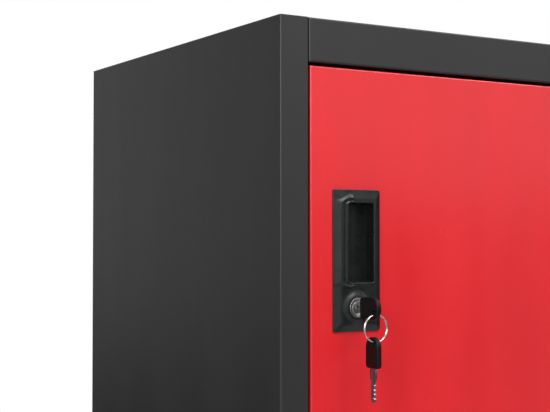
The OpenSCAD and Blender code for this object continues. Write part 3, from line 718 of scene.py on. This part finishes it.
def make_lock(door, metal):
    low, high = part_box(door + "_lock_body")
    centre = ((low.x + high.x) / 2 / MM, 0, (low.z + high.z) / 2 / MM)
    front, end = low.y / MM, high.y / MM
    back, ledge = front + LOCK_RIM_T, front + LEDGE_IN
    outline = rounded([(LEDGE_R, front), (LOCK_RIM_R, front), (LOCK_RIM_R, back), (BARREL_R, back),
                       (BARREL_R, end), (BARREL_BORE_R, end), (BARREL_BORE_R, ledge), (LEDGE_R, ledge)],
                      LOCK_ROUND)
    profile = []
    for radius, along in outline:
        profile.append((radius, along))
        if abs(radius - BARREL_R) < 1e-6 and along < back + BARREL_START:
            turn = 0
            while back + THREAD_IN + THREAD_PITCH * turn < end - THREAD_END:
                base = back + THREAD_IN + THREAD_PITCH * turn
                profile += [(THREAD_TOP_R, base), (THREAD_ROOT_R, base + THREAD_PITCH / 2)]
                turn += 1
    lock = to_object(door + "_lock", turned(profile, centre), metal, 35)
    seat(lock, door + "_door", "lock_metal", door + "_lock_body")


def make_plug(door, metal):
    """The part of the lock that turns: raised middle, dished ring, keyway and square tail."""
    low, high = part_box(door + "_lock_plug")
    x, z = (low.x + high.x) / 2 / MM, (low.z + high.z) / 2 / MM
    front, end, cam = low.y / MM, high.y / MM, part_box(door + "_lock_cam")[0].y / MM
    lip, back = front + DISH_LIP_IN, front + PLUG_FACE_T
    profile = rounded([(0, front), (DISH_MIDDLE_R, front), (DISH_MIDDLE_R, front + DISH_IN), (DISH_R, lip),
                       (PLUG_FACE_R, lip), (PLUG_FACE_R, back), (PLUG_R, back), (PLUG_R, cam), (0, cam)],
                      PLUG_ROUND)
    mesh = block(turned(profile, (x, 0, z)), (x - TAIL_HALF, cam - 0.1, z - TAIL_HALF),
                 (x + TAIL_HALF, end, z + TAIL_HALF))
    plug = to_object(door + "_plug_face", mesh, metal, 35)
    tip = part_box(door + "_key_blade")[1].y / MM
    for half, depth in ((KEYWAY_HALF_COLLAR, tip - BLADE_L), (KEYWAY_HALF_BLADE, tip)):
        slot = block(bmesh.new(), (x - KEYWAY_HALF_T, front - 1, z - half),
                     (x + KEYWAY_HALF_T, depth + KEYWAY_END, z + half))
        cut_away(plug, slot, 35)
    seat(plug, door + "_plug", "lock_metal", door + "_lock_plug")


# the keys: plastic bow with a hole, blade with its collar, cuts and groove

def key_place(door, hanging):
    """Places a key drawn from the hole in its bow, with its blade along +Y and its bow upright."""
    low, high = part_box(door + "_key_bow")
    hole = Vector(((low.x + high.x) / 2, low.y + HOLE_IN * MM, (low.z + high.z) / 2 - HOLE_SIDE * MM))
    if not hanging:
        return Matrix.Translation(hole)
    hole.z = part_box(door + "_spare_bow")[1].z - HOLE_IN * MM
    return (Matrix.Translation(hole) @ Matrix.Rotation(radians(SPARE_TURN), 4, "Z")
            @ Matrix.Rotation(radians(-90), 4, "X"))


def bow_rows():
    """Rows of points over the bow: outline, rounded edge, face, hole, and back."""
    def outline(inset):
        u0, u1 = -HOLE_IN + inset, BOW_L - HOLE_IN - inset
        v0, v1 = HOLE_SIDE - BOW_W / 2 + inset, HOLE_SIDE + BOW_W / 2 - inset
        return round_loop(u0, u1, v0, v1, BOW_ROUND - inset, BOW_CORNER - inset, across=14, up=8, corner=12)

    def hole(radius):
        return [(radius * cos(a), radius * sin(a)) for a in (atan2(v, u) for u, v in outline(0))]

    face = BOW_T / 2 - BOW_CROWN
    steps = []
    for k in range(6):
        turn = radians(90 * k / 5)
        steps.append((outline(BOW_EDGE * (1 - cos(turn))), face - BOW_EDGE * (1 - sin(turn))))
    rim, ring = outline(BOW_EDGE), hole(HOLE_R + HOLE_EDGE)
    for share, crown in ((0.25, 2 / 3), (0.5, 1), (0.75, 2 / 3), (1, 0)):
        steps.append((between(rim, ring, share), face + BOW_CROWN * crown))
    for k in range(1, 4):
        turn = radians(30 * k)
        steps.append((hole(HOLE_R + HOLE_EDGE * (1 - sin(turn))), face - HOLE_EDGE * (1 - cos(turn))))
    front, back = ([[(side * x, u, v) for u, v in points] for points, x in steps] for side in (1, -1))
    return front + back[::-1]


def blade_outline():
    """Points round the blade: its lower edge with the cuts, its tip, and its upper edge."""
    start, half, wide = BOW_L - HOLE_IN, BLADE_W / 2, COLLAR_W / 2
    collar, tip = start + COLLAR_L, start + COLLAR_L + BLADE_L
    lower = [(start - BLADE_IN, -half), (start + COLLAR_GAP, -half), (start + COLLAR_GAP, -wide),
             (collar - COLLAR_CUT, -wide), (collar, COLLAR_CUT - wide), (collar, -half)]
    upper = [(u, -v) for u, v in reversed(lower)]
    for k, depth in enumerate(CUT_DEPTHS):
        at = collar + (k + 1) * CUT_PITCH
        lower += [(at - depth - CUT_HALF, -half), (at - CUT_HALF, depth - half),
                  (at + CUT_HALF, depth - half), (at + depth + CUT_HALF, -half)]
    lower += [(tip - TIP_CUT, -half), (tip, TIP_CUT - half), (tip, 0), (tip - half, half)]
    return [(u, HOLE_SIDE + v) for u, v in lower + upper]


def make_blade(name):
    mesh = bmesh.new()
    face = mesh.faces.new([mesh.verts.new((-BLADE_T / 2 * MM, u * MM, v * MM)) for u, v in blade_outline()])
    made = bmesh.ops.extrude_face_region(mesh, geom=[face])["geom"]
    far_side = [item for item in made if isinstance(item, bmesh.types.BMVert)]
    bmesh.ops.translate(mesh, vec=(BLADE_T * MM, 0, 0), verts=far_side)
    bmesh.ops.recalc_face_normals(mesh, faces=mesh.faces)
    blade = to_object(name, mesh, key_nickel, 30)
    grooves = bmesh.new()
    y, z = BOW_L - HOLE_IN + GROOVE_MIDDLE, HOLE_SIDE + GROOVE_SIDE
    for x in (-BLADE_T / 2, BLADE_T / 2):
        block(grooves, (x - GROOVE_DEPTH, y - GROOVE_HALF_L, z - GROOVE_HALF_W),
              (x + GROOVE_DEPTH, y + GROOVE_HALF_L, z + GROOVE_HALF_W))
    cut_away(blade, grooves, 30)
    modifier = blade.modifiers.new("edges", "BEVEL")
    modifier.width = BLADE_EDGE * MM
    modifier.segments = 2
    modifier.limit_method = "ANGLE"
    modifier.angle_limit = radians(35)
    return settle(blade, 30)


def make_keys(door):
    for hanging, key in ((False, door + "_key"), (True, door + "_spare")):
        where = key_place(door, hanging)
        bow = to_object(key + "_grip", loft(bow_rows(), wrap=True), bow_plastic, 50)
        bow.data.transform(where)
        seat(bow, key, "key_plastic", key + "_bow")
        blade = make_blade(key + "_shank")
        blade.data.transform(where)
        seat(blade, key, "key_metal", key + "_blade")


# split ring and screws, by geometry nodes

def geometry_tree(name, sizes):
    tree = bpy.data.node_groups.new(name, "GeometryNodeTree")
    tree.interface.new_socket("Geometry", in_out="INPUT", socket_type="NodeSocketGeometry")
    for label, value in sizes:
        socket = tree.interface.new_socket(label, in_out="INPUT", socket_type="NodeSocketFloat")
        socket.default_value = value * MM
    tree.interface.new_socket("Geometry", in_out="OUTPUT", socket_type="NodeSocketGeometry")
    return tree, tree.nodes.new("NodeGroupInput").outputs, tree.nodes.new("NodeGroupOutput").inputs


def close_tree(tree, geometry, give, material):
    real = add(tree, "GeometryNodeRealizeInstances", {"Geometry": geometry}).outputs[0]
    coat = add(tree, "GeometryNodeSetMaterial", {"Geometry": real, "Material": material}).outputs[0]
    tree.links.new(coat, give["Geometry"])


def split_ring_tree():
    """Nearly two turns of wire that step over from one turn to the other."""
    sizes = [("Ring Radius", RING_R), ("Coil Spacing", RING_COIL_STEP), ("Wire Radius", RING_WIRE_R)]
    tree, take, give = geometry_tree("split_ring", sizes)
    radius = take["Ring Radius"]
    coil = add(tree, "GeometryNodeCurveSpiral", {"Resolution": 110, "Rotations": 1.955, "Height": 0.0,
                                                 "Start Radius": radius, "End Radius": radius}).outputs[0]
    along = add(tree, "GeometryNodeSplineParameter").outputs["Factor"]
    step = add(tree, "ShaderNodeMapRange", {"Value": along, "From Min": 0.475, "From Max": 0.525,
                                            "To Min": -0.5, "To Max": 0.5}, interpolation_type="SMOOTHSTEP")
    shift = calc(tree, "MULTIPLY", step.outputs[0], take["Coil Spacing"])
    lift = add(tree, "ShaderNodeCombineXYZ", {"Z": shift}).outputs[0]
    cranked = add(tree, "GeometryNodeSetPosition", {"Geometry": coil, "Offset": lift}).outputs[0]
    wire = add(tree, "GeometryNodeCurvePrimitiveCircle", {"Resolution": 14, "Radius": take["Wire Radius"]})
    tube = add(tree, "GeometryNodeCurveToMesh", {"Curve": cranked, "Profile Curve": wire.outputs[0],
                                                 "Fill Caps": True}).outputs[0]
    close_tree(tree, tube, give, ring_steel)
    return tree


def screw_tree():
    """A cross-recessed screw at each point, with its head towards +Y."""
    tree, take, give = geometry_tree("screws", [("Head Radius", 3.6), ("Head Height", 2), ("Shank Radius", 2),
                                                ("Shank Length", 7)])

    def share(name, part):
        return calc(tree, "MULTIPLY", take[name], part)

    def moved(geometry, z):
        lift = add(tree, "ShaderNodeCombineXYZ", {"Z": z}).outputs[0]
        return add(tree, "GeometryNodeTransform", {"Geometry": geometry, "Translation": lift}).outputs[0]

    low = add(tree, "GeometryNodeMeshCylinder", {"Vertices": 32, "Radius": take["Head Radius"],
                                                 "Depth": share("Head Height", 0.6)}).outputs["Mesh"]
    crown = add(tree, "GeometryNodeMeshCone", {"Vertices": 32, "Radius Top": share("Head Radius", 0.68),
                                               "Radius Bottom": share("Head Radius", 0.995),
                                               "Depth": share("Head Height", 0.45)}).outputs["Mesh"]
    head = add(tree, "GeometryNodeMeshBoolean", operation="UNION", solver="EXACT")
    tree.links.new(moved(low, share("Head Height", 0.3)), head.inputs["Mesh 2"])
    tree.links.new(moved(crown, share("Head Height", 0.55)), head.inputs["Mesh 2"])
    recess = add(tree, "GeometryNodeMeshBoolean", {"Mesh 1": head.outputs["Mesh"]}, operation="DIFFERENCE",
                 solver="EXACT")
    long, thin = share("Head Radius", 1.05), share("Head Radius", 0.26)
    for a, b in ((long, thin), (thin, long)):
        size = add(tree, "ShaderNodeCombineXYZ", {"X": a, "Y": b, "Z": share("Head Height", 1.1)}).outputs[0]
        bar = add(tree, "GeometryNodeMeshCube", {"Size": size}).outputs["Mesh"]
        tree.links.new(moved(bar, take["Head Height"]), recess.inputs["Mesh 2"])
    shank = add(tree, "GeometryNodeMeshCylinder", {"Vertices": 20, "Radius": take["Shank Radius"],
                                                   "Depth": take["Shank Length"]}).outputs["Mesh"]
    join = add(tree, "GeometryNodeJoinGeometry")
    tree.links.new(recess.outputs["Mesh"], join.inputs[0])
    tree.links.new(moved(shank, share("Shank Length", -0.49)), join.inputs[0])
    spots = add(tree, "GeometryNodeMeshToPoints", {"Mesh": take["Geometry"]}).outputs[0]
    rows = add(tree, "GeometryNodeInstanceOnPoints", {"Points": spots, "Instance": join.outputs[0],
                                                      "Rotation": (radians(-90), 0, 0)}).outputs[0]
    close_tree(tree, rows, give, zinc_plate)
    return tree


def grown(name, spots, tree, crease, **sizes):
    """What a node tree makes at the given points, as a plain mesh. Sizes are in metres."""
    data = bpy.data.meshes.new(name)
    data.from_pydata(spots, [], [])
    piece = bpy.data.objects.new(name, data)
    scene.collection.objects.link(piece)
    modifier = piece.modifiers.new("made", "NODES")
    modifier.node_group = tree
    for item in tree.interface.items_tree:
        size = item.name.replace(" ", "_").lower()
        if item.in_out == "INPUT" and size in sizes:
            modifier[item.identifier] = sizes[size]
    return settle(piece, crease)


split_ring = split_ring_tree()
screws = screw_tree()


def make_ring(door):
    low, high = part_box(door + "_key_ring")
    radius = (high.z - low.z) / 2 - RING_INSIDE * MM
    ring = grown(door + "_split_ring", [(0, 0, 0)], split_ring, 60, ring_radius=radius)
    ring.data.transform(Matrix.Translation((low + high) / 2) @ Matrix.Rotation(radians(90), 4, "X")
                        @ Matrix.Rotation(radians(RING_START), 4, "Z"))
    seat(ring, door + "_ring", "ring_steel", door + "_key_ring")


def screw_row(name, node, screw, body):
    """One screw for each solid of a node."""
    head_radius, head_height, shank_radius = (size * MM for size in screw)
    spots, length = [], 0
    for low, high in solids(node):
        spots.append(((low[0] + high[0]) / 2, high[1] - head_height, (low[2] + high[2]) / 2))
        length = high[1] - low[1] - head_height
    row = grown(name, spots, screws, 35, head_radius=head_radius, head_height=head_height,
                shank_radius=shank_radius, shank_length=length)
    seat(row, body, "zinc_steel", node)


def make_feet():
    mesh = bmesh.new()
    for low, high in solids("foot_glides"):
        centre = ((low[0] + high[0]) / 2 / MM, (low[1] + high[1]) / 2 / MM, 0)
        plug = [(FOOT_PLUG_R, high[2] / MM), (0, high[2] / MM)]
        foot = turned(rounded(list(FOOT_PROFILE) + plug, 0.5), centre, "Z", 64)
        held = bpy.data.meshes.new("foot")
        foot.to_mesh(held)
        foot.free()
        mesh.from_mesh(held)
        bpy.data.meshes.remove(held)
    feet = to_object("feet", mesh, foot_plastic, 40)
    seat(feet, "carcass", "foot_plastic", "foot_glides")


# stage

def make_world():
    """White studio, brighter to the eye and in reflections than as a light."""
    world = bpy.data.worlds.new("studio")
    world.use_nodes = True
    scene.world = world
    sky = world.node_tree
    path = add(sky, "ShaderNodeLightPath").outputs
    mirrored = calc(sky, "MAXIMUM", path["Is Glossy Ray"], path["Is Transmission Ray"])
    seen = calc(sky, "MAXIMUM", path["Is Camera Ray"], mirrored)
    light = sky.nodes["Background"].inputs
    light["Color"].default_value = grey(1.0)
    sky.links.new(span(sky, seen, 0, 1, SKY_LIGHT, SKY_SEEN), light["Strength"])


def make_floor():
    data = bpy.data.meshes.new("floor")
    mesh = bmesh.new()
    bmesh.ops.create_circle(mesh, cap_ends=True, segments=64, radius=FLOOR_R)
    mesh.to_mesh(data)
    mesh.free()
    paint, tree, shader, spot = new_material("floor_paint")
    tones = [grey(tone) for tone in FLOOR_TONES]
    tree.links.new(blend(tree, noise(tree, spot, 300), *tones), shader.inputs["Base Color"])
    shader.inputs["Roughness"].default_value = 0.9
    data.materials.append(paint)
    floor = bpy.data.objects.new("floor", data)
    scene.collection.objects.link(floor)


def make_light():
    dark_card("left_card", (-1.25, 1.75, 0), (0.52, -0.86), width=3.4, height=2.6,
              coat=card_paint("left_card_paint", 0.02, 0.75, ("Z", 0.5, 0.85), ("X", -2.1, -0.7)))
    dark_card("right_card", (1.0, -1.9, 0), (-0.52, 0.86), width=2.6, height=1.06,
              coat=card_paint("right_card_paint", 0.02, 0.70, ("X", 1.1, 1.65)))
    dark_card("end_card", (1.15, -0.2, 0), (-1, 0), width=1.6, height=1.3,
              coat=card_paint("end_card_paint", 0.02, 0.03, ("Z", 0, 1)))
    dark_card("high_card", (1.25, -1.6, 1.9), (-0.6, 0.8), width=1.4, height=1.1,
              coat=card_paint("high_card_paint", 0.15, 0.20, ("Z", 2, 3)))
    front_corner = (-0.19, -0.19, 1.0)
    soft_lamp("key_lamp", (0.05, -1.5, 2.7), (0, -0.18, 1.0), width=1.3, height=1.3, watts=40)
    soft_lamp("strip_lamp", (-2.0, -1.35, 1.65), front_corner, width=0.35, height=1.2, watts=12)
    soft_lamp("corner_glint", (-2.13, -1.12, 1.7), front_corner, width=0.35, height=1.2, watts=28, glint=True)
    soft_lamp("edge_glint", (1.32, -0.83, 2.6), (0, -0.19, 1.1), width=1.0, height=0.35, watts=11, glint=True)


# build

set_camera()
kept = {name: carcass_paint for name in CARCASS}
kept.update({"lower_hinge_pins": zinc_plate, "upper_hinge_pins": zinc_plate, "hinge_washers": washer_nylon,
             "door_pads": pad_rubber})
make_feet()
screw_row("back_screw_heads", "back_screws", BACK_SCREW, "carcass")
for door in DOORS:
    low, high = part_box(door + "_lock_body")
    turned_nickel = turned_metal(door + "_turned_nickel", (0.38, 0.37, 0.34), 0.30, (low + high) / 2)
    kept.update({door + "_door_panel": door_paint, door + "_door_stiffener": door_paint,
                 door + "_lock_nut": zinc_plate, door + "_lock_cam": zinc_plate})
    make_pull(door)
    make_lock(door, turned_nickel)
    make_plug(door, turned_nickel)
    make_keys(door)
    make_ring(door)
    screw_row(door + "_pull_screws", door + "_handle_screws", PULL_SCREW, door + "_door")
    screw_row(door + "_cam_screw_head", door + "_cam_screw", CAM_SCREW, door + "_plug")
for name, material in kept.items():
    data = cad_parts[name].data
    data.materials.clear()
    data.materials.append(material)

make_world()
make_floor()
make_light()
scene.view_settings.view_transform = "Standard"
